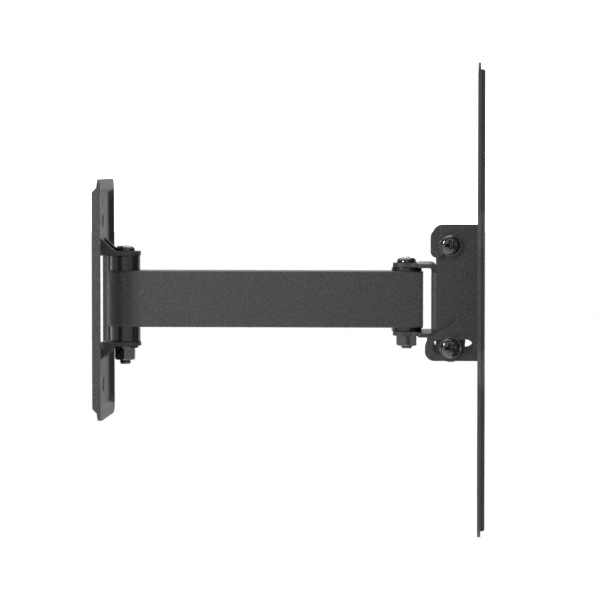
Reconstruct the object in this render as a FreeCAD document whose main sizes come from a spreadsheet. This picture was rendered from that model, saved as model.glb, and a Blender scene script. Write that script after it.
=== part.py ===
"""Full motion wall mount for a TV: wall plate, swinging arm, swivel head and tilting display plate.

The origin is on the wall, at the centre of the wall plate's back face. +X points out of the wall to
the display, +Y runs along the wall and +Z is up. Lengths are millimetres and angles are degrees.
"""

import FreeCAD, Part
import os
import re

import Sketcher

SIZES = {
    # wall plate: a stamped tray with its rim towards the room
    "wall_plate_width": 60,
    "wall_plate_height": 119,
    "wall_plate_depth": 4.1,
    "wall_plate_sheet": 1.9,
    "wall_plate_lip": 4.0,
    "wall_plate_slope": 2.3,
    "wall_plate_corner": 6,
    "wall_plate_inner_corner": 3,
    # two ears cut out of the middle of the plate and bent out, and the opening that they leave
    "ear_sheet": 2.1,
    "ear_radius": 7.85,
    "ear_root_width": 19,
    "ear_outer_bend": 2.4,
    "ear_inner_bend": 0.7,
    "opening_width": 28.8,
    "bend_relief": 2.5,
    "gusset_sheet": 2,
    "gusset_rise": 6.6,
    "gusset_reach": 7.2,
    "screw_hole_high": 38.6,
    "screw_hole_high_radius": 3.3,
    "screw_hole_low": -43.2,
    "screw_hole_low_radius": 3.9,
    "arrow_bottom": 45,
    "arrow_length": 6,
    "arrow_width": 3,
    "arrow_stem": 1,
    "arrow_engraving": 0.25,
    # arm: a rectangular tube, full round at the wall end and capped at the head end
    "wall_pivot_x": 13.1,
    "arm_length": 140.4,
    "arm_height": 28,
    "arm_thickness": 17.4,
    "arm_wall": 2,
    "arm_edge_round": 1.2,
    "arm_overhang": 7.2,
    "cap_flange": 1,
    "cap_plug_depth": 5,
    "cap_plug_wall": 1.2,
    "cap_plug_gap": 0.1,
    "cap_sleeve_room": 0.6,
    "cap_edge_round": 0.3,
    # flanged plastic bushes: tall ones at the wall pivot, thin ones at the head pivot
    "bush_radius": 7.5,
    "bush_spigot_wall": 0.9,
    "wall_spacer_height": 7.4,
    "head_bush_height": 1.9,
    "bush_seat_gap": 0.05,
    "bush_running_gap": 0.05,
    "bush_end_gap": 0.1,
    "bush_edge_round": 0.4,
    # pivot fasteners, all M6
    "bolt_radius": 3,
    "bolt_hole_clearance": 0.2,
    "bolt_head_radius": 4.95,
    "bolt_head_height": 3,
    "bolt_shoulder": 2.2,
    "bolt_tip_chamfer": 0.5,
    "recess_span": 5.4,
    "recess_arm": 1.35,
    "recess_depth": 1.9,
    "sleeve_bore_clearance": 0.1,
    "sleeve_wall": 1.4,
    "nut_across_flats": 10,
    "nut_chamfer": 1.4,
    "nut_crown": 0.2,
    "nut_thread_gap": 0.03,
    "nut_insert_wall": 0.9,
    "nut_insert_height": 1.6,
    "wall_nut_height": 6,
    "wall_bolt_stub": 2.1,
    "wall_washer_radius": 6.7,
    "wall_washer_height": 1.1,
    "head_nut_height": 5.2,
    "head_bolt_stub": 1.3,
    # swivel bracket: a clevis round the arm's end with two tongues bent towards the display
    "bracket_sheet": 2,
    "bracket_bend": 3,
    "clevis_ear_end": 6.8,
    "clevis_half_width": 8,
    "clevis_ear_corner": 6,
    "clevis_root_half_width": 21,
    "clevis_root_back": 6,
    "clevis_root_inner_corner": 3.5,
    "clevis_root_corner": 1.5,
    "web_back": 12.55,
    "web_width": 54,
    "web_relief": 1.2,
    "tongue_radius": 7.1,
    # tilt joint: pivot screws above, lock screws in curved slots below
    "tilt_reach": 22,
    "tilt_height": 27.6,
    "lock_drop": 50,
    "tilt_screw_length": 11.4,
    "tilt_washer_radius": 5.4,
    "tilt_washer_height": 0.8,
    "friction_washer_radius": 6.5,
    "friction_washer_height": 0.5,
    "tilt_nut_height": 5,
    "tilt_slot_clearance": 0.45,
    "lock_angle_forward": 8.7,
    "lock_angle_back": 6.3,
    # display plate: one stamping, raised inside a flat lip, with two flanges bent back
    "display_reach": 35.2,
    "display_size": 220,
    "display_centre_height": 4,
    "display_sheet": 1.5,
    "display_raise": 1.9,
    "display_lip": 3.3,
    "display_corner": 8,
    "display_shoulder": 1.1,
    "notch_outer": 39.4,
    "notch_depth": 17.5,
    "notch_corner": 4,
    "flange_sheet": 2,
    "flange_top": 36.4,
    "flange_bottom": -28.9,
    "flange_front_bend": 1.4,
    "flange_back_bend": 1,
    "hook_back": 12.3,
    "hook_bottom": 21.4,
    "hook_corner": 5.3,
    "lobe_back": 9.65,
    "lobe_top": -19,
    "lobe_top_corner": 6,
    "lobe_bottom_corner": 4.5,
    "flange_step": -8.9,
    "flange_step_corner": 5,
    "small_hole_radius": 2.4,
    "large_hole_radius": 3.3,
    "vesa_small": 75,
    "vesa_medium": 100,
    "vesa_large": 200,
}

# Places that several pieces share, as expressions in the sizes above.
HEAD_PIVOT_X = "(wall_pivot_x + arm_length)"
WEB_BACK_X = f"({HEAD_PIVOT_X} + web_back)"
WEB_FRONT_X = f"({WEB_BACK_X} + bracket_sheet)"
TILT_X = f"({HEAD_PIVOT_X} + tilt_reach)"
LOCK_HEIGHT = "(tilt_height - lock_drop)"
DISPLAY_BACK_X = f"({HEAD_PIVOT_X} + display_reach)"
DISPLAY_DEPTH = "(display_sheet + display_raise)"
ARM_END_X = f"({HEAD_PIVOT_X} + arm_overhang)"
BOLT_HOLE_RADIUS = "(bolt_radius + bolt_hole_clearance)"
SLEEVE_BORE_RADIUS = "(bolt_radius + sleeve_bore_clearance)"
SLEEVE_RADIUS = f"({SLEEVE_BORE_RADIUS} + sleeve_wall)"
SLEEVE_RUN_RADIUS = f"({SLEEVE_RADIUS} + bush_running_gap)"
SPIGOT_RADIUS = f"({SLEEVE_RUN_RADIUS} + bush_spigot_wall)"
NUT_INSERT_RADIUS = "(bolt_radius + nut_insert_wall)"
SLOT_HALF_WIDTH = "(bolt_radius + tilt_slot_clearance)"
EAR_GAP = "(arm_height + 2 * (wall_spacer_height + bush_end_gap))"
CLEVIS_GAP = "(arm_height + 2 * (head_bush_height + bush_end_gap))"
FLANGE_INSIDE = "(web_width / 2 + friction_washer_height)"
FLANGE_OUTSIDE = f"({FLANGE_INSIDE} + flange_sheet)"
TONGUE_INSIDE = "(web_width / 2 - bracket_sheet)"

document = FreeCAD.newDocument("wall_mount")
sheet = document.addObject("Spreadsheet::Sheet", "Sizes")
for row, (alias, size) in enumerate(SIZES.items(), start=1):
    sheet.set(f"A{row}", alias)
    sheet.set(f"B{row}", str(size))
    sheet.setAlias(f"B{row}", alias)
document.recompute()

parts = []


# ---------------------------------------------------------------- sizes and expressions

def linked(expression):
    """The expression with each size's name replaced by its cell in the sheet. A double minus drops out."""
    words = expression.replace("--", "")
    return re.sub(r"[a-z_]+", lambda word: f"Sizes.{word[0]}" if word[0] in SIZES else word[0], words)


def number(expression):
    """What the expression comes to with the sizes in the sheet."""
    return float(sheet.evalExpression(linked(expression)))


def bind(item, path, expression):
    """Ties a property of an object to the sheet."""
    item.setExpression(path, linked(expression))


# ---------------------------------------------------------------- bodies and sketches

def new_body(label):
    """A body that becomes one sub-part."""
    body = document.addObject("PartDesign::Body", label)
    parts.append(body)
    return body


def origin_plane(body, role):
    """One of the body's own three planes."""
    return next(feature for feature in body.Origin.OriginFeatures if feature.Role == role)


def sketch_on(body, role, offset="0"):
    """An empty sketch on one of the body's planes, moved along the plane's normal by the offset."""
    sketch = body.newObject("Sketcher::SketchObject", f"{body.Label}_sketch")
    sketch.AttachmentSupport = [(origin_plane(body, role), "")]
    sketch.MapMode = "FlatFace"
    bind(sketch, "AttachmentOffset.Base.z", offset)
    document.recompute()
    return sketch


def point(place):
    """The sketch point that two expressions give."""
    return FreeCAD.Vector(number(place[0]), number(place[1]), 0)


def hold_point(sketch, geometry, position, place, sides=("DistanceX", "DistanceY")):
    """Holds a sketch point at the place that two expressions give."""
    for side, expression in zip(("DistanceX", "DistanceY"), place):
        if side in sides:
            constraint = Sketcher.Constraint(side, -1, 1, geometry, position, number(expression))
            index = sketch.addConstraint(constraint)
            bind(sketch, f"Constraints[{index}]", expression)


def arc_geometry(start, end, centre, turn):
    """An arc from start to end about the centre, turning left or right."""
    circle = Part.Circle(centre, FreeCAD.Vector(0, 0, 1), start.distanceToPoint(centre))
    first, last = (start, end) if turn == "left" else (end, start)
    return Part.ArcOfCircle(circle, circle.parameter(first), circle.parameter(last))


def draw_outline(sketch, path):
    """Draws a closed outline.

    The path starts with a corner (x, y). A later entry (x, y) is a straight side to that corner, and
    (x, y, centre x, centre y, turn) is an arc to it. A straight side closes the outline, unless its
    last entry is already back at the first corner.
    """
    closed = path[-1][:2] == path[0][:2]
    steps = path[1:] if closed else path[1:] + path[:1]
    starts = [path[0]] + steps[:-1]
    pieces = []
    for start, step in zip(starts, steps):
        if len(step) == 2:
            geometry = sketch.addGeometry(Part.LineSegment(point(start), point(step)))
            pieces.append((geometry, 1, 2))
        else:
            arc = arc_geometry(point(start), point(step), point(step[2:4]), step[4])
            geometry = sketch.addGeometry(arc)
            pieces.append((geometry, 1, 2) if step[4] == "left" else (geometry, 2, 1))
    for (geometry, _, last), (following, first, _) in zip(pieces, pieces[1:] + pieces[:1]):
        sketch.addConstraint(Sketcher.Constraint("Coincident", geometry, last, following, first))
    for (geometry, first, _), start, step in zip(pieces, starts, steps):
        hold_point(sketch, geometry, first, start)
        if len(step) > 2:
            chord = point(step) - point(start)
            side = "DistanceX" if abs(chord.y) > abs(chord.x) else "DistanceY"
            hold_point(sketch, geometry, 3, step[2:4], (side,))


def draw_circle(sketch, place, radius):
    """Draws a circle about the place, with its radius bound."""
    circle = Part.Circle(point(place), FreeCAD.Vector(0, 0, 1), number(radius))
    geometry = sketch.addGeometry(circle)
    hold_point(sketch, geometry, 3, place)
    index = sketch.addConstraint(Sketcher.Constraint("Radius", geometry, number(radius)))
    bind(sketch, f"Constraints[{index}]", radius)


def box_path(low, high):
    """The corners of a rectangle between two opposite corners."""
    return [low, (high[0], low[1]), high, (low[0], high[1])]


def centred_box_path(width, height):
    """The corners of a rectangle about the sketch's origin."""
    across, up = f"({width}) / 2", f"({height}) / 2"
    return box_path((f"-{across}", f"-{up}"), (across, up))


def rounded_box_path(width, height, radius):
    """The outline of a rectangle about the sketch's origin, with round corners."""
    across, up = f"({width}) / 2", f"({height}) / 2"
    inner_across, inner_up = f"({across} - ({radius}))", f"({up} - ({radius}))"
    return [
        (f"-{inner_across}", f"-{up}"),
        (inner_across, f"-{up}"),
        (across, f"-{inner_up}", inner_across, f"-{inner_up}", "left"),
        (across, inner_up),
        (inner_across, up, inner_across, inner_up, "left"),
        (f"-{inner_across}", up),
        (f"-{across}", inner_up, f"-{inner_across}", inner_up, "left"),
        (f"-{across}", f"-{inner_up}"),
        (f"-{inner_across}", f"-{up}", f"-{inner_across}", f"-{inner_up}", "left"),
    ]


# ---------------------------------------------------------------- features

def add_feature(body, kind, sketch):
    """A sketch-based feature at the body's tip."""
    feature = body.newObject(f"PartDesign::{kind}", f"{body.Label}_{kind.lower()}")
    feature.Profile = sketch
    return feature


def pad(body, sketch, length, symmetric=False, backwards=False):
    """Adds material from a sketch."""
    feature = add_feature(body, "Pad", sketch)
    feature.SideType = "Symmetric" if symmetric else "One side"
    feature.Reversed = backwards
    bind(feature, "Length", length)
    document.recompute()
    return feature


def pocket(body, sketch, length=None, symmetric=False, backwards=False):
    """Cuts material from a sketch: to a length, or right through both ways if none is given."""
    before = body.Shape.Volume
    feature = add_feature(body, "Pocket", sketch)
    if length is None:
        feature.Type = "ThroughAll"
        feature.SideType = "Symmetric"
    else:
        feature.SideType = "Symmetric" if symmetric else "One side"
        feature.Reversed = backwards
        bind(feature, "Length", length)
    document.recompute()
    if not body.Shape.Volume < before:
        raise RuntimeError(f"{feature.Label} cuts nothing")
    return feature


def turn(body, path, kind="Revolution"):
    """Turns an outline in the XZ plane once round the body's Z axis, to add or to cut."""
    before = body.Shape.Volume if kind == "Groove" else 0
    sketch = sketch_on(body, "XZ_Plane")
    draw_outline(sketch, path)
    feature = add_feature(body, kind, sketch)
    feature.ReferenceAxis = (sketch, ["V_Axis"])
    feature.Angle = 360
    document.recompute()
    if kind == "Groove" and not body.Shape.Volume < before:
        raise RuntimeError(f"{feature.Label} cuts nothing")
    return feature


def mirror(body, features, role):
    """Repeats features on the other side of one of the body's planes."""
    feature = body.newObject("PartDesign::Mirrored", f"{body.Label}_mirrored")
    feature.Originals = features
    feature.MirrorPlane = (origin_plane(body, role), [""])
    body.Tip = feature
    document.recompute()
    return feature


def round_edges(body, radius, wanted):
    """Rounds the edges whose centre and direction the test accepts."""
    base = body.Tip
    names = []
    for index, edge in enumerate(base.Shape.Edges, start=1):
        direction = edge.tangentAt(edge.FirstParameter)
        if wanted(edge.CenterOfMass, direction):
            names.append(f"Edge{index}")
    if not names:
        raise RuntimeError(f"{body.Label} has no edge to round there")
    feature = body.newObject("PartDesign::Fillet", f"{body.Label}_fillet")
    feature.Base = (base, names)
    bind(feature, "Radius", radius)
    document.recompute()
    change = abs(body.Shape.Volume / base.Shape.Volume - 1)
    if not 0 < change < 0.1:
        raise RuntimeError(f"{feature.Label} spoils the body")
    return feature


def near(value, target):
    """Are two lengths the same to a hundredth of a millimetre?"""
    return abs(value - target) < 0.01


def place(body, x, y, z, axis=FreeCAD.Vector(1, 0, 0), angle=0):
    """Puts a body, drawn about its own Z axis, at its place in the mount."""
    body.Placement = FreeCAD.Placement(FreeCAD.Vector(), FreeCAD.Rotation(axis, angle))
    for side, expression in zip("xyz", (x, y, z)):
        bind(body, f"Placement.Base.{side}", expression)


def pair(label, body):
    """One sub-part from a body and its mirror image on the mount's other side."""
    parts.remove(body)
    twin = document.addObject("Part::Mirroring", f"{label}_far")
    twin.Source = body
    twin.Normal = FreeCAD.Vector(0, 1, 0)
    both = document.addObject("Part::Compound", label)
    both.Links = [body, twin]
    parts.append(both)


# ---------------------------------------------------------------- fasteners and turned pieces

def ring(label, inner, outer, height):
    """A sleeve, washer or insert that stands on its own XY plane."""
    body = new_body(label)
    sketch = sketch_on(body, "XY_Plane")
    draw_circle(sketch, ("0", "0"), outer)
    draw_circle(sketch, ("0", "0"), inner)
    pad(body, sketch, height)
    return body


def bolt(label, length):
    """A pan head bolt with a cross recess; its head stands on the XY plane, its shank hangs below."""
    body = new_body(label)
    shoulder_radius = "(bolt_head_radius - bolt_shoulder)"
    shoulder_height = "(bolt_head_height - bolt_shoulder)"
    turn(body, [
        ("0", f"-({length})"),
        ("bolt_radius - bolt_tip_chamfer", f"-({length})"),
        ("bolt_radius", f"bolt_tip_chamfer - ({length})"),
        ("bolt_radius", "0"),
        ("bolt_head_radius", "0"),
        ("bolt_head_radius", shoulder_height),
        (shoulder_radius, "bolt_head_height", shoulder_radius, shoulder_height, "left"),
        ("0", "bolt_head_height"),
    ])
    recess = sketch_on(body, "XY_Plane", "bolt_head_height")
    reach, half = "recess_span / 2", "recess_arm / 2"
    quarter = [(half, half), (reach, half), (reach, f"-{half}"), (half, f"-{half}")]
    down = [(half, f"-{reach}"), (f"-{half}", f"-{reach}")]
    left = [(f"-{half}", f"-{half}"), (f"-{reach}", f"-{half}"), (f"-{reach}", half), (f"-{half}", half)]
    up = [(f"-{half}", reach), (half, reach)]
    draw_outline(recess, quarter + down + left + up)
    pocket(body, recess, "recess_depth")
    return body


def nut(label, height):
    """A hexagonal locking nut on the XY plane, with a chamfered crown and a seat for its insert."""
    body = new_body(label)
    corner = "nut_across_flats / sqrt(3)"
    hexagon = sketch_on(body, "XY_Plane")
    draw_outline(hexagon, [(f"{corner} * cos({angle})", f"{corner} * sin({angle})")
                           for angle in range(30, 390, 60)])
    pad(body, hexagon, height)
    inside = "(nut_across_flats / 2 - nut_crown)"
    outside = f"({inside} + nut_chamfer)"
    turn(body, [
        (inside, height),
        (outside, f"({height}) - nut_chamfer"),
        (outside, height),
    ], "Groove")
    bore = sketch_on(body, "XY_Plane")
    draw_circle(bore, ("0", "0"), "bolt_radius + nut_thread_gap")
    pocket(body, bore)
    seat = sketch_on(body, "XY_Plane", height)
    draw_circle(seat, ("0", "0"), NUT_INSERT_RADIUS)
    pocket(body, seat, "nut_insert_height")
    return body


def nut_insert(label):
    """The nylon ring that grips the thread in a locking nut."""
    return ring(label, "bolt_radius + nut_thread_gap", NUT_INSERT_RADIUS, "nut_insert_height")


def flanged_bush(label, height):
    """A bush that stands on the arm's face, with a spigot down into the hole in the arm's wall."""
    body = new_body(label)
    turn(body, [
        (SLEEVE_RUN_RADIUS, "-arm_wall"),
        (SPIGOT_RADIUS, "-arm_wall"),
        (SPIGOT_RADIUS, "0"),
        ("bush_radius", "0"),
        ("bush_radius", height),
        (SLEEVE_RUN_RADIUS, height),
    ])
    top = number(height)
    round_edges(body, "bush_edge_round", lambda centre, _: near(centre.z, top))
    return body


# ---------------------------------------------------------------- wall plate

def make_wall_plate():
    """The tray, its two pivot ears with gussets, the opening between them and the screw holes."""
    body = new_body("wall_plate")
    half = "wall_plate_height / 2"
    lip = f"({half} - wall_plate_lip)"
    slope = f"({lip} - wall_plate_slope)"
    lip_back = "(wall_plate_depth - wall_plate_sheet)"
    side_view = sketch_on(body, "XZ_Plane")
    draw_outline(side_view, [
        ("0", f"-{slope}"),
        (lip_back, f"-{lip}"),
        (lip_back, f"-{half}"),
        ("wall_plate_depth", f"-{half}"),
        ("wall_plate_depth", half),
        (lip_back, half),
        (lip_back, lip),
        ("0", slope),
    ])
    pad(body, side_view, "wall_plate_width", symmetric=True)

    # Everything outside the rounded outline goes.
    trim = sketch_on(body, "YZ_Plane")
    draw_outline(trim, centred_box_path("2 * wall_plate_width", "2 * wall_plate_height"))
    draw_outline(trim, rounded_box_path("wall_plate_width", "wall_plate_height", "wall_plate_corner"))
    pocket(body, trim)

    # The hollow leaves one thickness of sheet, measured square to the sloping ends.
    mitre = f"wall_plate_sheet * tan(atan2({lip_back}; wall_plate_slope) / 2)"
    floor_end = f"({slope} - {mitre})"
    slope_end = f"({floor_end} + wall_plate_slope)"
    hollow = sketch_on(body, "XZ_Plane")
    draw_outline(hollow, [
        ("wall_plate_sheet", f"-{floor_end}"),
        ("wall_plate_depth", f"-{slope_end}"),
        ("wall_plate_depth", slope_end),
        ("wall_plate_sheet", floor_end),
    ])
    inner_width = "wall_plate_width - 2 * wall_plate_sheet"
    pocket(body, hollow, inner_width, symmetric=True)
    side = number(inner_width) / 2
    end = (number(floor_end) + number(slope_end)) / 2
    round_edges(body, "wall_plate_inner_corner",
                lambda centre, _: near(abs(centre.y), side) and near(abs(centre.z), end))

    # The opening is as tall as the gap between the ears, with a relief beside each bend.
    across, root = "opening_width / 2", "ear_root_width / 2"
    gap = f"{EAR_GAP} / 2"
    relief = f"({gap} + bend_relief)"
    opening = sketch_on(body, "YZ_Plane")
    draw_outline(opening, [
        (across, f"-{relief}"),
        (across, relief),
        (root, relief),
        (root, gap),
        (f"-{root}", gap),
        (f"-{root}", relief),
        (f"-{across}", relief),
        (f"-{across}", f"-{relief}"),
        (f"-{root}", f"-{relief}"),
        (f"-{root}", f"-{gap}"),
        (root, f"-{gap}"),
        (root, f"-{relief}"),
    ])
    pocket(body, opening)

    ear_sketch = sketch_on(body, "XY_Plane", gap)
    taper_end = "(wall_plate_sheet + gusset_reach)"
    draw_outline(ear_sketch, [
        ("0", f"-{root}"),
        ("wall_plate_sheet", f"-{root}"),
        (taper_end, "-ear_radius"),
        ("wall_pivot_x", "-ear_radius"),
        ("wall_pivot_x", "ear_radius", "wall_pivot_x", "0", "left"),
        (taper_end, "ear_radius"),
        ("wall_plate_sheet", root),
        ("0", root),
    ])
    ear = pad(body, ear_sketch, "ear_sheet")
    ear_top = f"({gap} + ear_sheet)"
    gussets = []
    for offset in (f"{root} - gusset_sheet", f"-{root}"):
        gusset = sketch_on(body, "XZ_Plane", offset)
        draw_outline(gusset, [
            ("wall_plate_sheet", gap),
            (taper_end, gap),
            (taper_end, ear_top),
            ("wall_plate_sheet", f"{ear_top} + gusset_rise"),
        ])
        gussets.append(pad(body, gusset, "gusset_sheet"))
    mirror(body, [ear] + gussets, "XY_Plane")

    pivot = sketch_on(body, "XY_Plane")
    draw_circle(pivot, ("wall_pivot_x", "0"), BOLT_HOLE_RADIUS)
    pocket(body, pivot)
    screws = sketch_on(body, "YZ_Plane")
    draw_circle(screws, ("0", "screw_hole_high"), "screw_hole_high_radius")
    draw_circle(screws, ("0", "screw_hole_low"), "screw_hole_low_radius")
    pocket(body, screws)

    # A small engraved arrow above the upper hole shows which way up the plate goes.
    head_bottom = "(arrow_bottom + arrow_length / 2)"
    arrow = sketch_on(body, "YZ_Plane", "wall_plate_sheet")
    draw_outline(arrow, [
        ("-arrow_stem / 2", "arrow_bottom"),
        ("arrow_stem / 2", "arrow_bottom"),
        ("arrow_stem / 2", head_bottom),
        ("arrow_width / 2", head_bottom),
        ("0", "arrow_bottom + arrow_length"),
        ("-arrow_width / 2", head_bottom),
        ("-arrow_stem / 2", head_bottom),
    ])
    pocket(body, arrow, "arrow_engraving")

    bend_height = number(gap)
    crease_height = number(ear_top)
    crease = number("wall_plate_sheet")
    round_edges(body, "ear_outer_bend",
                lambda centre, _: near(abs(centre.z), bend_height) and near(centre.x, 0))
    inside = number("ear_root_width / 2 - gusset_sheet")
    round_edges(body, "ear_inner_bend",
                lambda centre, along: near(abs(centre.z), crease_height) and near(centre.x, crease)
                and abs(centre.y) < inside and near(abs(along.y), 1))


# ---------------------------------------------------------------- arm

def arm_path(inset, end):
    """The arm seen from above: square at the head end and full round about the wall pivot."""
    side = f"(arm_thickness / 2 - ({inset}))"
    return [
        ("wall_pivot_x", f"-{side}"),
        (end, f"-{side}"),
        (end, side),
        ("wall_pivot_x", side),
        ("wall_pivot_x", f"-{side}", "wall_pivot_x", "0", "left"),
    ]


def make_arm():
    """The arm's tube and the plastic cap in its square end."""
    tube = new_body("arm_tube")
    plan = sketch_on(tube, "XY_Plane")
    draw_outline(plan, arm_path("0", ARM_END_X))
    pad(tube, plan, "arm_height", symmetric=True)
    top = number("arm_height / 2")
    end = number(ARM_END_X)
    round_edges(tube, "arm_edge_round",
                lambda centre, _: near(abs(centre.z), top) and centre.x < end - 1)
    inside = sketch_on(tube, "XY_Plane")
    draw_outline(inside, arm_path("arm_wall", ARM_END_X))
    pocket(tube, inside, "arm_height - 2 * arm_wall", symmetric=True)
    holes = sketch_on(tube, "XY_Plane")
    for pivot in ("wall_pivot_x", HEAD_PIVOT_X):
        draw_circle(holes, (pivot, "0"), f"{SPIGOT_RADIUS} + bush_seat_gap")
    pocket(tube, holes)

    cap = new_body("arm_end_cap")
    flange = sketch_on(cap, "YZ_Plane", ARM_END_X)
    draw_outline(flange, rounded_box_path("arm_thickness", "arm_height", "arm_edge_round"))
    pad(cap, flange, "cap_flange")
    face = number(f"{ARM_END_X} + cap_flange")
    round_edges(cap, "cap_edge_round", lambda centre, _: near(centre.x, face))
    margin = "(2 * (arm_wall + cap_plug_gap))"
    plug_width, plug_height = f"arm_thickness - {margin}", f"arm_height - {margin}"
    plug = sketch_on(cap, "YZ_Plane", ARM_END_X)
    draw_outline(plug, centred_box_path(plug_width, plug_height))
    draw_outline(plug, centred_box_path(f"{plug_width} - 2 * cap_plug_wall",
                                        f"{plug_height} - 2 * cap_plug_wall"))
    pad(cap, plug, "cap_plug_depth", backwards=True)
    room = sketch_on(cap, "XY_Plane")
    draw_circle(room, (HEAD_PIVOT_X, "0"), f"{SLEEVE_RADIUS} + cap_sleeve_room")
    pocket(cap, room)


# ---------------------------------------------------------------- pivots

def make_bushes():
    """The four flanged bushes in the arm."""
    above = "arm_height / 2"
    below = "-arm_height / 2"
    place(flanged_bush("wall_upper_spacer", "wall_spacer_height"), "wall_pivot_x", "0", above)
    place(flanged_bush("wall_lower_spacer", "wall_spacer_height"), "wall_pivot_x", "0", below, angle=180)
    place(flanged_bush("head_upper_bush", "head_bush_height"), HEAD_PIVOT_X, "0", above)
    place(flanged_bush("head_lower_bush", "head_bush_height"), HEAD_PIVOT_X, "0", below, angle=180)


def make_pivot_fasteners(side, x, gap, sheet_size, washer, nut_height, stub):
    """A bolt down through a clevis, the sleeve between its ears, and a locking nut below."""
    outside = f"({gap} / 2 + {sheet_size})"
    length = f"(2 * {outside} + {washer} + {nut_height} + {stub})"
    place(bolt(f"{side}_pivot_bolt", length), x, "0", outside)
    sleeve = ring(f"{side}_pivot_sleeve", SLEEVE_BORE_RADIUS, SLEEVE_RADIUS, gap)
    place(sleeve, x, "0", f"-{gap} / 2")
    seat = f"-({outside} + {washer})"
    place(nut(f"{side}_pivot_nut", nut_height), x, "0", seat, angle=180)
    insert_height = f"{seat} - {nut_height} + nut_insert_height"
    place(nut_insert(f"{side}_pivot_nut_insert"), x, "0", insert_height, angle=180)


def make_wall_pivot():
    """The wall pivot has a washer under its lower ear."""
    make_pivot_fasteners("wall", "wall_pivot_x", EAR_GAP, "ear_sheet",
                         "wall_washer_height", "wall_nut_height", "wall_bolt_stub")
    washer = ring("wall_pivot_washer", BOLT_HOLE_RADIUS, "wall_washer_radius", "wall_washer_height")
    place(washer, "wall_pivot_x", "0", f"-({EAR_GAP} / 2 + ear_sheet + wall_washer_height)")


def make_head_pivot():
    """The head pivot's nut bears straight on the lower ear."""
    make_pivot_fasteners("head", HEAD_PIVOT_X, CLEVIS_GAP, "bracket_sheet",
                         "0", "head_nut_height", "head_bolt_stub")


# ---------------------------------------------------------------- swivel bracket

def bent_path(back, front, half, reach, outer, inner):
    """A U section: a web between back and front, with both sides bent over to the reach."""
    towards = "+" if reach[0] == "+" else "-"
    far = reach[1:]
    near_face, far_face = (back, front) if towards == "+" else (front, back)
    bend_start = f"({near_face} {towards} {outer})"
    skin = f"({half} - bracket_sheet)"
    bow = f"({half} - {outer})"
    first, second = ("left", "right") if towards == "+" else ("right", "left")
    return [
        (near_face, f"-{bow}"),
        (bend_start, f"-{half}", bend_start, f"-{bow}", first),
        (far, f"-{half}"),
        (far, f"-{skin}"),
        (bend_start, f"-{skin}"),
        (far_face, f"-{bow}", bend_start, f"-{bow}", second),
        (far_face, bow),
        (bend_start, skin, bend_start, bow, second),
        (far, skin),
        (far, half),
        (bend_start, half),
        (near_face, bow, bend_start, bow, first),
    ]


def ear_flank_path(side):
    """What is cut from one side of the clevis ears, so that they widen only at their root."""
    left, right = ("right", "left") if side else ("left", "right")
    free = f"({HEAD_PIVOT_X} - arm_length / 2)"
    back = f"({HEAD_PIVOT_X} + clevis_root_back)"
    inner_bow = f"({back} - clevis_root_inner_corner)"
    outer_bow = f"({back} + clevis_root_corner)"
    bow_height = f"{side}(clevis_half_width + clevis_root_inner_corner)"
    corner_height = f"{side}(clevis_root_half_width - clevis_root_corner)"
    outside = f"{side}web_width"
    return [
        (free, f"{side}clevis_half_width"),
        (inner_bow, f"{side}clevis_half_width"),
        (back, bow_height, inner_bow, bow_height, left),
        (back, corner_height),
        (outer_bow, f"{side}clevis_root_half_width", outer_bow, corner_height, right),
        (outer_bow, outside),
        (free, outside),
    ]


def make_swivel_bracket():
    """One stamping: clevis ears bent back over the arm's end and tongues bent towards the display."""
    body = new_body("swivel_bracket")
    ear_outside = f"({CLEVIS_GAP} / 2 + bracket_sheet)"
    web_half_height = f"({ear_outside} - bracket_bend - web_relief)"
    tongue_front = f"({TILT_X} + tongue_radius)"
    web = sketch_on(body, "XY_Plane")
    draw_outline(web, bent_path(WEB_BACK_X, WEB_FRONT_X, "(web_width / 2)", f"+{tongue_front}",
                                "bracket_bend", "bracket_sheet"))
    pad(body, web, f"2 * {web_half_height}", symmetric=True)

    # Each tongue is a strip with round ends, about the pivot screw above and the lock screw below.
    tongues = []
    back, front = f"({TILT_X} - tongue_radius)", tongue_front
    for offset in (TONGUE_INSIDE, "-(web_width / 2)"):
        strip = sketch_on(body, "XZ_Plane", offset)
        draw_outline(strip, [
            (front, LOCK_HEIGHT),
            (front, "tilt_height"),
            (back, "tilt_height", TILT_X, "tilt_height", "left"),
            (back, LOCK_HEIGHT),
            (front, LOCK_HEIGHT, TILT_X, LOCK_HEIGHT, "left"),
        ])
        tongues.append(pad(body, strip, "bracket_sheet"))

    clevis = sketch_on(body, "XZ_Plane")
    ear_end = f"({HEAD_PIVOT_X} - clevis_ear_end)"
    draw_outline(clevis, bent_path(WEB_BACK_X, WEB_FRONT_X, ear_outside, f"-{ear_end}",
                                   "bracket_bend", "bracket_sheet"))
    pad(body, clevis, "2 * clevis_root_half_width", symmetric=True)
    flanks = sketch_on(body, "XY_Plane")
    for side in ("", "-"):
        draw_outline(flanks, ear_flank_path(side))
    pocket(body, flanks)
    ear_tip = number(ear_end)
    ear_side = number("clevis_half_width")
    round_edges(body, "clevis_ear_corner",
                lambda centre, along: near(centre.x, ear_tip) and near(abs(centre.y), ear_side)
                and near(abs(along.z), 1))

    pivot = sketch_on(body, "XY_Plane")
    draw_circle(pivot, (HEAD_PIVOT_X, "0"), BOLT_HOLE_RADIUS)
    pocket(body, pivot)
    screws = sketch_on(body, "XZ_Plane")
    for height in ("tilt_height", LOCK_HEIGHT):
        draw_circle(screws, (TILT_X, height), BOLT_HOLE_RADIUS)
    pocket(body, screws)


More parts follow.
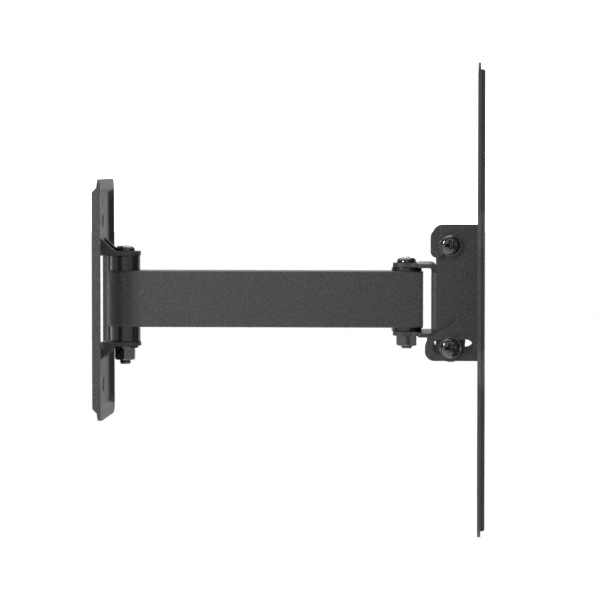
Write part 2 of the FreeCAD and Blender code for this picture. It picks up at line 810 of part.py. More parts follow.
def make_tilt_fasteners(side, height):
    """A screw, washer, friction washer and locking nut for one height, on both tongues."""
    head_seat = f"({FLANGE_OUTSIDE} + tilt_washer_height)"
    screw = bolt(f"tilt_{side}_screw", "tilt_screw_length")
    place(screw, TILT_X, f"-{head_seat}", height, angle=90)
    pair(f"tilt_{side}_screws", screw)
    washer = ring(f"tilt_{side}_washer", BOLT_HOLE_RADIUS, "tilt_washer_radius", "tilt_washer_height")
    place(washer, TILT_X, f"-{FLANGE_OUTSIDE}", height, angle=90)
    pair(f"tilt_{side}_washers", washer)
    friction = ring(f"tilt_{side}_friction_washer", BOLT_HOLE_RADIUS,
                    "friction_washer_radius", "friction_washer_height")
    place(friction, TILT_X, "-web_width / 2", height, angle=90)
    pair(f"tilt_{side}_friction_washers", friction)
    lock_nut = nut(f"tilt_{side}_nut", "tilt_nut_height")
    place(lock_nut, TILT_X, f"-{TONGUE_INSIDE}", height, angle=-90)
    pair(f"tilt_{side}_nuts", lock_nut)
    insert = nut_insert(f"tilt_{side}_nut_insert")
    insert_seat = f"tilt_nut_height - nut_insert_height - {TONGUE_INSIDE}"
    place(insert, TILT_X, insert_seat, height, angle=-90)
    pair(f"tilt_{side}_nut_inserts", insert)


# ---------------------------------------------------------------- display plate

def notched_path(inset):
    """The display plate's square outline, with a sloping notch in each side, moved inwards."""
    half = f"(display_size / 2 - ({inset}))"
    outer = f"(notch_outer + (sqrt(2) - 1) * ({inset}))"
    inner = f"({outer} - notch_depth)"
    floor = f"({half} - notch_depth)"
    side = [
        (half, f"-{half}"),
        (half, f"-{outer}"),
        (floor, f"-{inner}"),
        (floor, inner),
        (half, outer),
    ]
    path = []
    for _ in range(4):
        path += side
        side = [(f"-{up}", across) for across, up in side]
    return [(across, f"display_centre_height + ({up})") for across, up in path]


def bolt_places(across, up):
    """The four holes of a rectangular pattern about the display plate's centre."""
    return [(f"{side} * ({across}) / 2", f"display_centre_height + {level} * ({up}) / 2")
            for side in (-1, 1) for level in (-1, 1)]


def flange_path():
    """A flange from the side: hook over the pivot screw above, lobe round the lock screw below."""
    hook_x = f"({HEAD_PIVOT_X} + hook_back)"
    lobe_x = f"({HEAD_PIVOT_X} + lobe_back)"
    slot_back = f"({TILT_X} - {SLOT_HALF_WIDTH})"
    slot_front = f"({TILT_X} + {SLOT_HALF_WIDTH})"
    front = f"({DISPLAY_BACK_X} + {DISPLAY_DEPTH})"
    hook_middle = f"(({hook_x} + {slot_back}) / 2)"
    hook_round = f"(hook_bottom + ({slot_back} - {hook_x}) / 2)"
    return [
        (front, "flange_top"),
        (f"{hook_x} + hook_corner", "flange_top"),
        (hook_x, "flange_top - hook_corner", f"{hook_x} + hook_corner", "flange_top - hook_corner", "left"),
        (hook_x, hook_round),
        (slot_back, hook_round, hook_middle, hook_round, "left"),
        (slot_back, "tilt_height"),
        (slot_front, "tilt_height", TILT_X, "tilt_height", "right"),
        (slot_front, "flange_step"),
        (lobe_x, "lobe_top"),
        (lobe_x, "flange_bottom"),
        (front, "flange_bottom"),
    ]


def lock_slot_path():
    """The curved slot about the tilt axis that the lock screw runs in."""
    def at(radius, angle):
        return (f"({TILT_X} + ({radius}) * sin({angle}))", f"(tilt_height - ({radius}) * cos({angle}))")

    outer, inner = f"lock_drop + {SLOT_HALF_WIDTH}", f"lock_drop - {SLOT_HALF_WIDTH}"
    forward, back = "lock_angle_forward", "-lock_angle_back"
    axis = (TILT_X, "tilt_height")
    return [
        at(outer, back),
        at(outer, forward) + axis + ("left",),
        at(inner, forward) + at("lock_drop", forward) + ("left",),
        at(inner, back) + axis + ("right",),
        at(outer, back) + at("lock_drop", back) + ("left",),
    ]


def make_display_plate():
    """The stamped plate with its raised face, flanges, window and bolt holes."""
    body = new_body("display_plate")
    outline = sketch_on(body, "YZ_Plane", DISPLAY_BACK_X)
    draw_outline(outline, notched_path("0"))
    pad(body, outline, DISPLAY_DEPTH)
    half = number("display_size / 2")
    centre_height = number("display_centre_height")

    def at_corner(centre, along):
        square = near(abs(centre.y), half) and near(abs(centre.z - centre_height), half)
        return square and near(abs(along.x), 1)

    round_edges(body, "display_corner", at_corner)
    round_edges(body, "notch_corner",
                lambda centre, along: near(abs(along.x), 1)
                and max(abs(centre.y), abs(centre.z - centre_height)) - min(
                    abs(centre.y), abs(centre.z - centre_height)) > number("notch_depth"))

    # The lip stays one sheet thick round the raised face, and the raised face is hollow behind.
    step = sketch_on(body, "YZ_Plane", f"{DISPLAY_BACK_X} + {DISPLAY_DEPTH}")
    draw_outline(step, centred_box_path("2 * display_size", "2 * display_size"))
    draw_outline(step, notched_path("display_lip"))
    pocket(body, step, "display_raise")
    hollow = sketch_on(body, "YZ_Plane", DISPLAY_BACK_X)
    draw_outline(hollow, notched_path("display_lip + display_sheet"))
    pocket(body, hollow, "display_raise", backwards=True)
    face = number(f"{DISPLAY_BACK_X} + {DISPLAY_DEPTH}")
    round_edges(body, "display_shoulder", lambda centre, _: near(centre.x, face))

    window = sketch_on(body, "YZ_Plane", DISPLAY_BACK_X)
    draw_outline(window, box_path((f"-{FLANGE_INSIDE}", "flange_bottom"), (FLANGE_INSIDE, "flange_top")))
    pocket(body, window)
    for offset in (FLANGE_INSIDE, f"-{FLANGE_OUTSIDE}"):
        flange = sketch_on(body, "XZ_Plane", offset)
        draw_outline(flange, flange_path())
        pad(body, flange, "flange_sheet")
    slots = sketch_on(body, "XZ_Plane")
    draw_outline(slots, lock_slot_path())
    pocket(body, slots)

    patterns = [
        ("vesa_small", "vesa_small", "small_hole_radius"),
        ("vesa_medium", "vesa_medium", "small_hole_radius"),
        ("vesa_large", "vesa_medium", "large_hole_radius"),
        ("vesa_medium", "vesa_large", "large_hole_radius"),
        ("vesa_large", "vesa_large", "large_hole_radius"),
    ]
    holes = sketch_on(body, "YZ_Plane", DISPLAY_BACK_X)
    for across, up, radius in patterns:
        for spot in bolt_places(across, up):
            draw_circle(holes, spot, radius)
    pocket(body, holes)

    lobe_x = number(f"{HEAD_PIVOT_X} + lobe_back")
    step_x = number(f"{TILT_X} + {SLOT_HALF_WIDTH}")
    corners = [
        ("lobe_top_corner", lobe_x, number("lobe_top")),
        ("lobe_bottom_corner", lobe_x, number("flange_bottom")),
        ("flange_step_corner", step_x, number("flange_step")),
    ]
    for radius, x, z in corners:
        round_edges(body, radius, lambda centre, along: near(abs(along.y), 1)
                    and near(centre.x, x) and near(centre.z, z))
    inside = number(FLANGE_INSIDE)
    outside = number(FLANGE_OUTSIDE)
    round_edges(body, "flange_front_bend",
                lambda centre, along: near(centre.x, face) and near(abs(centre.y), inside)
                and near(abs(along.z), 1))
    raised_back = number(f"{DISPLAY_BACK_X} + display_raise")
    round_edges(body, "flange_back_bend",
                lambda centre, along: near(centre.x, raised_back) and near(abs(centre.y), outside)
                and near(abs(along.z), 1))


# ---------------------------------------------------------------- the mount

def check_and_export():
    """Stops if anything in the document failed, then writes each sub-part."""
    document.recompute()
    for item in document.Objects:
        if "Invalid" in item.State or "Error" in item.State:
            raise RuntimeError(f"{item.Label} failed: {item.State}")
    os.makedirs("parts", exist_ok=True)
    for part in parts:
        if part.Shape.isNull() or not part.Shape.isValid():
            raise RuntimeError(f"{part.Label} has no valid shape")
        part.Shape.exportStep(f"parts/{part.Label}.step")


make_wall_plate()
make_wall_pivot()
make_arm()
make_bushes()
make_swivel_bracket()
make_head_pivot()
make_tilt_fasteners("pivot", "tilt_height")
make_tilt_fasteners("lock", LOCK_HEIGHT)
make_display_plate()
check_and_export()
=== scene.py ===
"""Looks of the full motion wall mount: materials, machine screws, studio light and the camera.

Lengths are metres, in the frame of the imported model: the origin is on the wall at the centre of the
wall plate's back face, +X points out of the wall, +Y runs along the wall and +Z is up.
"""

import math

import bmesh
import bpy
from mathutils import Matrix, Vector


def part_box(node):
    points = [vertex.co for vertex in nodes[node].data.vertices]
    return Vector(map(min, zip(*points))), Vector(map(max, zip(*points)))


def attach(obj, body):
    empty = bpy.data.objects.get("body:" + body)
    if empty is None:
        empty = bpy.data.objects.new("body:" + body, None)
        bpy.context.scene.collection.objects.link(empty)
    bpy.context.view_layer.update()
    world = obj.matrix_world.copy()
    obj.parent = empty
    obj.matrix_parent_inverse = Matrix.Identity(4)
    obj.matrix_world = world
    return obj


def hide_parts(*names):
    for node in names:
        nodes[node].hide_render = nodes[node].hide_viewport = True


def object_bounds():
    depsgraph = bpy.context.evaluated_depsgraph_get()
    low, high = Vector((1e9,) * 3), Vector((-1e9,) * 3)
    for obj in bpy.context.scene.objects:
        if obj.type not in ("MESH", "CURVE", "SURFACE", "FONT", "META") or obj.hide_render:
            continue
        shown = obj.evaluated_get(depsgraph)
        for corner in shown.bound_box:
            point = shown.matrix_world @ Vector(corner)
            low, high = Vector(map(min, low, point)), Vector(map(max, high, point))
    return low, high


MM = 0.001

# machine screws: M6, pan head with a cross recess
THREAD_MAJOR = 2.96 * MM
THREAD_DEPTH = 0.5 * MM
THREAD_PITCH = 1.0 * MM
THREAD_FLAT = 0.1
THREAD_STEPS = 10
TIP_CHAMFER = 0.55 * MM
SHANK_GAP = 0.05 * MM
WALL_BOLT_THREAD = 12 * MM
HEAD_BOLT_THREAD = 9 * MM
TILT_SCREW_THREAD = 7 * MM
TILT_SCREW_LENGTH = 11.4 * MM
HEAD_RADIUS = 4.95 * MM
HEAD_HEIGHT = 3 * MM
HEAD_EDGE = 0.35 * MM
HEAD_SHOULDER = 2.3 * MM
HEAD_CROWN = 0.35 * MM
HEAD_EDGE_STEPS = 4
HEAD_SHOULDER_STEPS = 12
HEAD_CROWN_STEPS = 5
RING_POINTS = 64
RECESS_SPAN = 6.0 * MM
RECESS_FLOOR_SPAN = 3.0 * MM
RECESS_WING = 1.7 * MM
RECESS_FLOOR_WING = 1.0 * MM
RECESS_CORNER = 0.5 * MM
RECESS_DEPTH = 1.9 * MM
RECESS_POINT = 0.5 * MM
RECESS_ABOVE = 0.6 * MM
RECESS_ABOVE_SPREAD = 0.4
RECESS_ABOVE_WING = RECESS_WING * 1.05
RECESS_EDGE = 0.1 * MM
RECESS_SHARP_ANGLE = math.radians(40)

# edges rounded by the coating or the mould, by CAD node
EDGE_ROUND = {
    "wall_plate": 0.28 * MM,
    "arm_tube": 0.3 * MM,
    "swivel_bracket": 0.3 * MM,
    "display_plate": 0.25 * MM,
    "arm_end_cap": 0.15 * MM,
    "wall_pivot_washer": 0.12 * MM,
    "wall_pivot_nut": 0.12 * MM,
    "head_pivot_nut": 0.12 * MM,
    "tilt_pivot_nuts": 0.12 * MM,
    "tilt_lock_nuts": 0.12 * MM,
    "tilt_pivot_washers": 0.12 * MM,
    "tilt_lock_washers": 0.12 * MM,
}
EDGE_SEGMENTS = 2
WELD_REACH = 0.001 * MM
SHARP_ANGLE = math.radians(32)
FLAT_ANGLE = math.radians(0.4)
LARGE_FACE_WEIGHT = 80

# studio: the floor, the point that the lights face, and the world's strength from each side
FLOOR_DROP = 0.2
FLOOR_HALF = 14
FLOOR_CELLS = 8
FLOOR_CLOUD = 0.6
MIDDLE = (0.1, 0, 0)
SIDE_LIGHT = 0.05
FRONT_LIGHT = 0.7
BACKDROP_LIGHT = 2.2
CEILING_LIGHT = 3.2
CEILING_FRONT_SHARE = 0.2

# camera, at the photo's viewing angle
CAMERA_PLACE = Vector((0.1880, -1.5106, 0.0696))
CAMERA_AIM = Vector((0.10045, 0, -0.0007))
CAMERA_LENS = 182.55
CAMERA_SENSOR = 36
CAMERA_NEAR, CAMERA_FAR = 0.05, 60

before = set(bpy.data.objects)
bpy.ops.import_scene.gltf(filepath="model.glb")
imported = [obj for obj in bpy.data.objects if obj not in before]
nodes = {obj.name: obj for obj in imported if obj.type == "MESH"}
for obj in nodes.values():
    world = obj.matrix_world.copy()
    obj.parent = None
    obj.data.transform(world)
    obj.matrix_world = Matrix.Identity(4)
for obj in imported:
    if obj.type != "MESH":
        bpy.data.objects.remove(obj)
cad_low, cad_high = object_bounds()


# ---------------------------------------------------------------- materials
# The helpers that add nodes take a material or, for the studio's light, a world.

def new_material(name, colour, roughness, metallic=0.0):
    """A new material and its shader, with the shader's constant values set."""
    material = bpy.data.materials.new(name)
    material.use_nodes = True
    shader = material.node_tree.nodes["Principled BSDF"]
    shader.inputs["Base Color"].default_value = (*colour, 1)
    shader.inputs["Roughness"].default_value = roughness
    shader.inputs["Metallic"].default_value = metallic
    return material, shader


def add_node(material, kind, settings=(), **sockets):
    """A node of this kind. A socket given another node's output is linked, and a number is set."""
    node = material.node_tree.nodes.new(kind)
    for key, value in dict(settings).items():
        setattr(node, key, value)
    for key, value in sockets.items():
        socket = node.inputs[key.replace("_", " ")]
        if isinstance(value, bpy.types.NodeSocket):
            material.node_tree.links.new(value, socket)
        else:
            socket.default_value = value
    return node


def noise(material, place, feature, detail=3.0, distortion=0.0):
    """Noise from 0 to 1 whose grains are about this size across, in metres."""
    return add_node(material, "ShaderNodeTexNoise", Vector=place, Scale=1 / feature,
                    Detail=detail, Distortion=distortion).outputs["Fac"]


def remap(material, value, low, high, to_low, to_high):
    """The value carried from one range to another, and held inside it."""
    node = add_node(material, "ShaderNodeMapRange", Value=value)
    limits = {"From Min": low, "From Max": high, "To Min": to_low, "To Max": to_high}
    for key, number in limits.items():
        node.inputs[key].default_value = number
    return node.outputs["Result"]


def maths(material, operation, first, second):
    """Two values or sockets put through one operation."""
    node = add_node(material, "ShaderNodeMath", {"operation": operation})
    for socket, value in zip(node.inputs, (first, second)):
        if isinstance(value, bpy.types.NodeSocket):
            material.node_tree.links.new(value, socket)
        else:
            socket.default_value = value
    return node.outputs["Value"]


def blend_colours(material, factor, first, second):
    """A colour between two others. Each is a socket or three numbers."""
    node = add_node(material, "ShaderNodeMix", {"data_type": "RGBA"})
    material.node_tree.links.new(factor, node.inputs["Factor"])
    for socket, value in ((node.inputs[6], first), (node.inputs[7], second)):
        if isinstance(value, bpy.types.NodeSocket):
            material.node_tree.links.new(value, socket)
        else:
            socket.default_value = (*value, 1)
    return node.outputs[2]


def object_place(material):
    """The place on the piece, in metres, which stays with the piece as it moves."""
    return add_node(material, "ShaderNodeTexCoord").outputs["Object"]


def edge_mask(material, radius, low, high):
    """1 on outside and inside edges, and 0 away from them."""
    rounded = add_node(material, "ShaderNodeBevel", {"samples": 6}, Radius=radius)
    plain = add_node(material, "ShaderNodeNewGeometry")
    turn = add_node(material, "ShaderNodeVectorMath", {"operation": "DOT_PRODUCT"})
    material.node_tree.links.new(rounded.outputs["Normal"], turn.inputs[0])
    material.node_tree.links.new(plain.outputs["Normal"], turn.inputs[1])
    return remap(material, turn.outputs["Value"], high, low, 0, 1)


def bump(material, height, distance, strength, under=None):
    """A bump of this height in metres, laid over another bump if one is given."""
    node = add_node(material, "ShaderNodeBump", Height=height, Distance=distance, Strength=strength)
    if under is not None:
        material.node_tree.links.new(under, node.inputs["Normal"])
    return node.outputs["Normal"]


def join(material, value, shader, socket):
    """Feeds a value into the shader."""
    material.node_tree.links.new(value, shader.inputs[socket])


def powder_coat():
    """Fine textured matt black powder coat: grains about half a millimetre across, thin on edges,
    where its colour is lighter: partly worn coat and partly a painted edge highlight.
    """
    material, shader = new_material("powder_coat_fine_texture", (0.03, 0.03, 0.031), 0.5)
    shader.inputs["Specular IOR Level"].default_value = 0.5
    place = object_place(material)
    grain = noise(material, place, 0.55 * MM, detail=2.5)
    pores = noise(material, place, 0.22 * MM, detail=1.0)
    cloud = noise(material, place, 22 * MM, detail=4.0)
    speckle = remap(material, grain, 0.36, 0.66, 0, 1)
    coat = blend_colours(material, speckle, (0.010, 0.010, 0.0104), (0.052, 0.052, 0.053))
    shade = remap(material, cloud, 0.3, 0.7, 0.0, 0.12)
    coat = blend_colours(material, shade, coat, (0.022, 0.022, 0.0228))
    # painted edge highlight: the colour is lighter along edges, partly as worn coat and partly as a
    # highlight painted into it
    edge = edge_mask(material, 0.6 * MM, 0.72, 0.97)
    patchy_wear_and_highlight = remap(material, noise(material, place, 3.5 * MM, detail=5.0), 0.4, 0.68, 0.12, 0.8)
    wear_and_edge_highlight = maths(material, "MULTIPLY", edge, patchy_wear_and_highlight)
    join(material, blend_colours(material, wear_and_edge_highlight, coat, (0.082, 0.082, 0.084)), shader, "Base Color")
    sheen = remap(material, cloud, 0.3, 0.7, 0.5, 0.55)
    rough = maths(material, "ADD", sheen, remap(material, pores, 0.3, 0.7, -0.06, 0.06))
    polish = maths(material, "MULTIPLY", wear_and_edge_highlight, 0.14)
    join(material, maths(material, "SUBTRACT", rough, polish), shader, "Roughness")
    fine = bump(material, pores, 0.018 * MM, 0.5)
    join(material, bump(material, grain, 0.06 * MM, 0.55, fine), shader, "Normal")
    return material


def black_plating():
    """Glossy black plating on steel: faint tool marks, and bright metal just showing on its edges,
    whose lighter colour is partly worn plating and partly a painted highlight.
    """
    material, shader = new_material("black_plated_steel", (0.012, 0.012, 0.013), 0.2)
    shader.inputs["Specular IOR Level"].default_value = 0.75
    shader.inputs["Coat Weight"].default_value = 1.0
    shader.inputs["Coat Roughness"].default_value = 0.05
    place = object_place(material)
    smudge = noise(material, place, 2.4 * MM, detail=5.0, distortion=0.6)
    grain = noise(material, place, 0.16 * MM, detail=3.0)
    # painted edge highlight: the edges are lighter and more metallic, partly as worn plating and
    # partly as a highlight painted into the colour
    edge = edge_mask(material, 0.22 * MM, 0.75, 0.97)
    patchy_wear_and_highlight = remap(material, noise(material, place, 1.1 * MM, detail=4.0), 0.42, 0.66, 0.1, 0.9)
    wear_and_edge_highlight = maths(material, "MULTIPLY", edge, patchy_wear_and_highlight)
    plating = blend_colours(material, remap(material, smudge, 0.35, 0.7, 0, 1),
                            (0.008, 0.008, 0.0088), (0.017, 0.017, 0.018))
    join(material, blend_colours(material, wear_and_edge_highlight, plating, (0.11, 0.11, 0.115)), shader, "Base Color")
    join(material, remap(material, wear_and_edge_highlight, 0, 1, 0.15, 0.75), shader, "Metallic")
    join(material, remap(material, smudge, 0.3, 0.72, 0.09, 0.22), shader, "Roughness")
    join(material, bump(material, grain, 0.002 * MM, 0.2), shader, "Normal")
    return material


def bright_zinc():
    """Bright zinc with fine turning lines round its axis."""
    material, shader = new_material("bright_zinc", (0.58, 0.59, 0.61), 0.28, metallic=1.0)
    place = object_place(material)
    stretched = add_node(material, "ShaderNodeMapping", Vector=place)
    stretched.inputs["Scale"].default_value = (1, 1, 40)
    lines = noise(material, stretched.outputs["Vector"], 7 * MM, detail=6.0)
    spangle = noise(material, place, 1.6 * MM, detail=4.0)
    zinc = blend_colours(material, spangle, (0.5, 0.51, 0.53), (0.66, 0.67, 0.7))
    join(material, zinc, shader, "Base Color")
    join(material, remap(material, lines, 0.3, 0.7, 0.2, 0.42), shader, "Roughness")
    join(material, bump(material, lines, 0.01 * MM, 0.4), shader, "Normal")
    return material


def moulded_plastic():
    """Glossy moulded black plastic: slow ripples of the mould, and a few dull patches."""
    material, shader = new_material("glossy_black_plastic", (0.014, 0.014, 0.015), 0.22)
    shader.inputs["Specular IOR Level"].default_value = 0.55
    place = object_place(material)
    ripple = noise(material, place, 3.2 * MM, detail=2.0)
    dust = noise(material, place, 0.3 * MM, detail=4.0)
    tint = remap(material, ripple, 0.3, 0.7, 0, 1)
    plastic = blend_colours(material, tint, (0.0105, 0.0105, 0.0112), (0.017, 0.017, 0.018))
    join(material, plastic, shader, "Base Color")
    gloss = remap(material, noise(material, place, 1.4 * MM, detail=5.0), 0.35, 0.7, 0.16, 0.3)
    join(material, gloss, shader, "Roughness")
    fine = bump(material, dust, 0.004 * MM, 0.4)
    join(material, bump(material, ripple, 0.035 * MM, 0.5, fine), shader, "Normal")
    return material


def satin_nylon():
    """Satin black nylon with a fine grain."""
    material, shader = new_material("satin_black_nylon", (0.026, 0.026, 0.028), 0.5)
    place = object_place(material)
    grain = noise(material, place, 0.35 * MM, detail=4.0)
    cloud = noise(material, place, 4 * MM, detail=3.0)
    tint = remap(material, cloud, 0.3, 0.7, 0, 1)
    nylon = blend_colours(material, tint, (0.02, 0.02, 0.022), (0.034, 0.034, 0.036))
    join(material, nylon, shader, "Base Color")
    join(material, remap(material, grain, 0.3, 0.7, 0.4, 0.6), shader, "Roughness")
    join(material, bump(material, grain, 0.012 * MM, 0.4), shader, "Normal")
    return material


FINISHES = {
    "powder_coat": powder_coat(),
    "black_fasteners": black_plating(),
    "zinc_sleeve": bright_zinc(),
    "black_plastic": moulded_plastic(),
    "nylon": satin_nylon(),
}


# ---------------------------------------------------------------- CAD nodes

def round_edges(node, width):
    """Gives a CAD node the small rounding that its coating has on every sharp edge."""
    weld = node.modifiers.new("weld", "WELD")
    weld.merge_threshold = WELD_REACH
    flats = node.modifiers.new("flats", "DECIMATE")
    flats.decimate_type = "DISSOLVE"
    flats.angle_limit = FLAT_ANGLE
    rounding = node.modifiers.new("rounding", "BEVEL")
    rounding.width = width
    rounding.segments = EDGE_SEGMENTS
    rounding.limit_method = "ANGLE"
    rounding.angle_limit = SHARP_ANGLE
    rounding.use_clamp_overlap = True
    normals = node.modifiers.new("normals", "WEIGHTED_NORMAL")
    normals.keep_sharp = False
    normals.weight = LARGE_FACE_WEIGHT


for name, node in nodes.items():
    finish = FINISHES[node.data.materials[0].name.split(".")[0]]
    for slot in node.material_slots:
        slot.link = "OBJECT"
        slot.material = finish
    if name in EDGE_ROUND:
        round_edges(node, EDGE_ROUND[name])


# ---------------------------------------------------------------- machine screws

def thread_radius(turns):
    """The thread's radius at a place along its helix, in turns."""
    saw = abs(2 * (turns % 1.0) - 1)
    return THREAD_MAJOR - THREAD_DEPTH * min(max((saw - THREAD_FLAT) / (1 - 2 * THREAD_FLAT), 0), 1)


def head_outline():
    """Half of the pan head's outline, from under its edge to near its crown: (radius, height)."""
    outline = []
    for step in range(HEAD_EDGE_STEPS + 1):
        angle = math.radians(-90 + 90 * step / HEAD_EDGE_STEPS)
        outline.append((HEAD_RADIUS - HEAD_EDGE * (1 - math.cos(angle)),
                        HEAD_EDGE * (1 + math.sin(angle))))
    flank = HEAD_HEIGHT - HEAD_CROWN - HEAD_SHOULDER
    for step in range(1, HEAD_SHOULDER_STEPS + 1):
        angle = math.radians(90 * step / HEAD_SHOULDER_STEPS)
        outline.append((HEAD_RADIUS - HEAD_SHOULDER * (1 - math.cos(angle)),
                        flank + HEAD_SHOULDER * math.sin(angle)))
    inner = HEAD_RADIUS - HEAD_SHOULDER
    for step in range(1, HEAD_CROWN_STEPS):
        share = 1 - step / HEAD_CROWN_STEPS
        outline.append((inner * share, HEAD_HEIGHT - HEAD_CROWN * share ** 2))
    return outline


def screw_rings(length, thread_length):
    """Rings of radii from the screw's tip to the crown of its head: (height, radius at each point).

    The underside of the head is at height 0, and the shank points down.
    """
    rings = []
    steps = math.ceil(thread_length / THREAD_PITCH * THREAD_STEPS)
    for step in range(steps + 1):
        rise = thread_length * step / steps
        fade = min(1, (thread_length - rise) / THREAD_PITCH)
        radii = []
        for point in range(RING_POINTS):
            helix = rise / THREAD_PITCH - point / RING_POINTS
            radius = THREAD_MAJOR - (THREAD_MAJOR - thread_radius(helix)) * fade
            radii.append(min(radius, THREAD_MAJOR - TIP_CHAMFER + rise))
        rings.append((rise - length, radii))
    rings.append((-SHANK_GAP, [THREAD_MAJOR] * RING_POINTS))
    rings.append((0, [THREAD_MAJOR] * RING_POINTS))
    rings += [(height, [radius] * RING_POINTS) for radius, height in head_outline()]
    return rings


def mesh_from_rings(name, rings):
    """A closed mesh through rings of points round the Z axis, with a point at each end."""
    shape = bmesh.new()
    loops = []
    for height, radii in rings:
        loop = []
        for point, radius in enumerate(radii):
            angle = 2 * math.pi * point / RING_POINTS
            loop.append(shape.verts.new((radius * math.cos(angle), radius * math.sin(angle), height)))
        loops.append(loop)
    bottom = shape.verts.new((0, 0, rings[0][0]))
    top = shape.verts.new((0, 0, rings[-1][0]))
    for point in range(RING_POINTS):
        after = (point + 1) % RING_POINTS
        shape.faces.new((bottom, loops[0][after], loops[0][point]))
        shape.faces.new((top, loops[-1][point], loops[-1][after]))
        for lower, upper in zip(loops, loops[1:]):
            shape.faces.new((lower[point], lower[after], upper[after], upper[point]))
    mesh = bpy.data.meshes.new(name)
    shape.to_mesh(mesh)
    shape.free()
    return mesh


def cross_outline(span, wing, height):
    """The corners of a cross with its inside corners cut off, at one height."""
    half, side, corner = span / 2, wing / 2, wing / 2 + RECESS_CORNER
    quarter = [(half, -side), (half, side), (corner, side), (side, corner)]
    points = []
    for turn in range(4):
        cosine, sine = round(math.cos(turn * math.pi / 2)), round(math.sin(turn * math.pi / 2))
        points += [(x * cosine - y * sine, x * sine + y * cosine, height) for x, y in quarter]
    return points


def recess_mesh():
    """The tapered cross recess as a solid to cut out of the head. It goes on a little above it."""
    spread = 1 + RECESS_ABOVE / RECESS_DEPTH * RECESS_ABOVE_SPREAD
    levels = [
        cross_outline(RECESS_FLOOR_SPAN, RECESS_FLOOR_WING, HEAD_HEIGHT - RECESS_DEPTH),
        cross_outline(RECESS_SPAN * spread, RECESS_ABOVE_WING, HEAD_HEIGHT + RECESS_ABOVE),
    ]
    shape = bmesh.new()
    loops = [[shape.verts.new(point) for point in level] for level in levels]
    deepest = shape.verts.new((0, 0, HEAD_HEIGHT - RECESS_DEPTH - RECESS_POINT))
    count = len(loops[0])
    for point in range(count):
        after = (point + 1) % count
        shape.faces.new((loops[0][point], loops[0][after], loops[1][after], loops[1][point]))
        shape.faces.new((deepest, loops[0][after], loops[0][point]))
    shape.faces.new(loops[1])
    bmesh.ops.triangulate(shape, faces=shape.faces[:])
    mesh = bpy.data.meshes.new("recess")
    shape.to_mesh(mesh)
    shape.free()
    return mesh


def screw_mesh(length, thread_length):
    """A pan head machine screw with its recess cut and its sharp edges rounded."""
    rings = screw_rings(length, thread_length)
    solid = bpy.data.objects.new("solid", mesh_from_rings("solid", rings))
    cutter = bpy.data.objects.new("cutter", recess_mesh())
    for item in (solid, cutter):
        bpy.context.scene.collection.objects.link(item)
    cut = solid.modifiers.new("cut", "BOOLEAN")
    cut.operation = "DIFFERENCE"
    cut.solver = "EXACT"
    cut.object = cutter
    rounding = solid.modifiers.new("rounding", "BEVEL")
    rounding.width = RECESS_EDGE
    rounding.segments = EDGE_SEGMENTS
    rounding.limit_method = "ANGLE"
    rounding.angle_limit = RECESS_SHARP_ANGLE
    bpy.context.view_layer.update()
    evaluated = solid.evaluated_get(bpy.context.evaluated_depsgraph_get())
    mesh = bpy.data.meshes.new_from_object(evaluated)
    for item in (solid, cutter):
        used = item.data
        bpy.data.objects.remove(item)
        bpy.data.meshes.remove(used)
    mesh.shade_smooth()
    return mesh


def add_screw(name, node, body, mesh, place, axis, spin):
    """Places a screw: its head's underside at this place, and its head pointing along the axis.

    The spin turns its recess, in degrees.
    """
    screw = bpy.data.objects.new(name, mesh)
    bpy.context.scene.collection.objects.link(screw)
    turn = Vector(axis).to_track_quat("Z", "X").to_matrix().to_4x4()
    screw.matrix_world = Matrix.Translation(place) @ turn @ Matrix.Rotation(math.radians(spin), 4, "Z")
    mesh.materials.clear()
    mesh.materials.append(FINISHES["black_fasteners"])
    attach(screw, body)
    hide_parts(node)


def add_upright_bolt(node, body, thread_length, spin):
    """A pivot bolt: its head is up, and its shank goes down to the CAD bolt's lowest point."""
    low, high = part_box(node)
    middle = (low + high) / 2
    seat = high.z - HEAD_HEIGHT
    mesh = screw_mesh(seat - low.z, thread_length)
    add_screw(node + "_detailed", node, body, mesh, (middle.x, middle.y, seat), (0, 0, 1), spin)


def add_side_screws(node, spins):
    """The two tilt screws of a CAD node, one each side, with their heads outwards."""
    low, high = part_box(node)
    middle = (low + high) / 2
    seat = high.y - HEAD_HEIGHT
    for side, name, spin in ((-1, "left", spins[0]), (1, "right", spins[1])):
        mesh = screw_mesh(TILT_SCREW_LENGTH, TILT_SCREW_THREAD)
        place = (middle.x, side * seat, middle.z)
        add_screw(f"{node[:-1]}_{name}", node, "head", mesh, place, (0, side, 0), spin)


add_upright_bolt("wall_pivot_bolt", "wall", WALL_BOLT_THREAD, 8)
add_upright_bolt("head_pivot_bolt", "head", HEAD_BOLT_THREAD, 33)
add_side_screws("tilt_pivot_screws", (3, 31))
add_side_screws("tilt_lock_screws", (4, 62))


# ---------------------------------------------------------------- floor, light and camera

def add_floor():
    """A wide pale floor below the object, in faintly clouded paper."""
    shape = bmesh.new()
    bmesh.ops.create_grid(shape, x_segments=FLOOR_CELLS, y_segments=FLOOR_CELLS, size=FLOOR_HALF)
    mesh = bpy.data.meshes.new("floor")
    shape.to_mesh(mesh)
    shape.free()
    paper, shader = new_material("pale_floor", (0.93, 0.93, 0.925), 0.8)
    cloud = noise(paper, object_place(paper), FLOOR_CLOUD, detail=2.0)
    shade = blend_colours(paper, cloud, (0.92, 0.92, 0.915), (0.945, 0.945, 0.94))
    join(paper, shade, shader, "Base Color")
    mesh.materials.append(paper)
    floor = bpy.data.objects.new("floor", mesh)
    floor.location = (0, 0, cad_low.z - FLOOR_DROP)
    bpy.context.scene.collection.objects.link(floor)


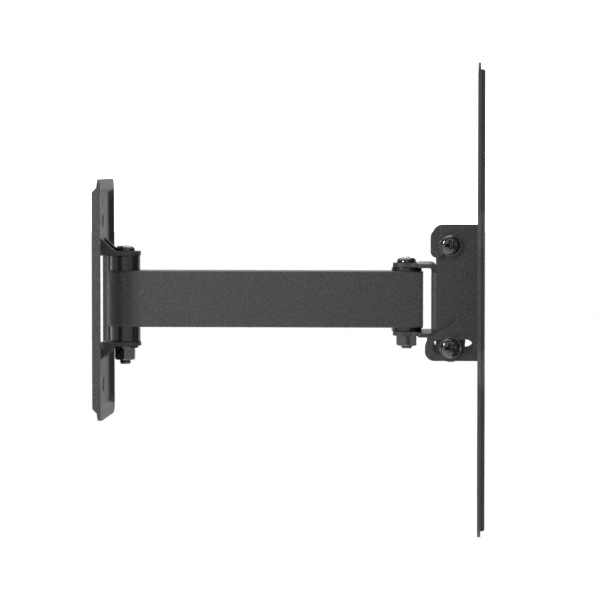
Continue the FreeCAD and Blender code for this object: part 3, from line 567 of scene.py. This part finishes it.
def soft_light(name, place, aim, size, power):
    """A rectangular soft box, aimed at a point."""
    lamp = bpy.data.lights.new(name, "AREA")
    lamp.shape = "RECTANGLE"
    lamp.size, lamp.size_y = size
    lamp.energy = power
    light = bpy.data.objects.new(name, lamp)
    light.location = place
    light.rotation_mode = "QUATERNION"
    light.rotation_quaternion = (Vector(aim) - Vector(place)).to_track_quat("-Z", "Y")
    bpy.context.scene.collection.objects.link(light)


def studio_sky():
    """A studio round the object: dim in front, bright behind, with a broad bright ceiling.

    Its strength follows the direction, which runs from -1 to 1 along each axis. The camera sees it
    as pure white.
    """
    world = bpy.data.worlds.new("studio")
    world.use_nodes = True
    bpy.context.scene.world = world
    background = world.node_tree.nodes["Background"]
    background.inputs["Color"].default_value = (1, 1, 1, 1)
    direction = add_node(world, "ShaderNodeTexCoord").outputs["Generated"]
    axes = add_node(world, "ShaderNodeSeparateXYZ", Vector=direction).outputs
    backdrop = remap(world, axes["Y"], 0.86, 0.97, SIDE_LIGHT, BACKDROP_LIGHT)
    front = remap(world, axes["Y"], -0.8, -0.95, 0.0, FRONT_LIGHT)
    above = remap(world, axes["Z"], 0.5, 0.9, 0.0, CEILING_LIGHT)
    depth = remap(world, axes["Y"], -0.3, 0.3, CEILING_FRONT_SHARE, 1.0)
    ceiling = maths(world, "MULTIPLY", above, depth)
    lit = maths(world, "ADD", maths(world, "ADD", backdrop, front), ceiling)
    seen = add_node(world, "ShaderNodeLightPath").outputs["Is Camera Ray"]
    join(world, maths(world, "MAXIMUM", lit, seen), background, "Strength")


def add_camera():
    """The photo's view."""
    lens = bpy.data.cameras.new("camera")
    lens.lens = CAMERA_LENS
    lens.sensor_width = CAMERA_SENSOR
    lens.clip_start, lens.clip_end = CAMERA_NEAR, CAMERA_FAR
    camera = bpy.data.objects.new("camera", lens)
    camera.location = CAMERA_PLACE
    camera.rotation_mode = "QUATERNION"
    camera.rotation_quaternion = (CAMERA_AIM - CAMERA_PLACE).to_track_quat("-Z", "Y")
    bpy.context.scene.collection.objects.link(camera)
    bpy.context.scene.camera = camera
    bpy.context.scene.view_settings.view_transform = "Standard"


add_floor()
soft_light("key", (-0.3, -0.47, 0.22), (0.08, 0, 0), (0.12, 0.12), 2.6)
soft_light("fill", (0.75, -0.8, 0.5), MIDDLE, (0.4, 0.4), 1.2)
soft_light("left_strip", (-0.94, 0.6, 0.1), MIDDLE, (0.05, 1.2), 0.6)
soft_light("right_strip", (1.15, 0.5, 0.1), MIDDLE, (0.08, 1.2), 1.6)
studio_sky()
add_camera()
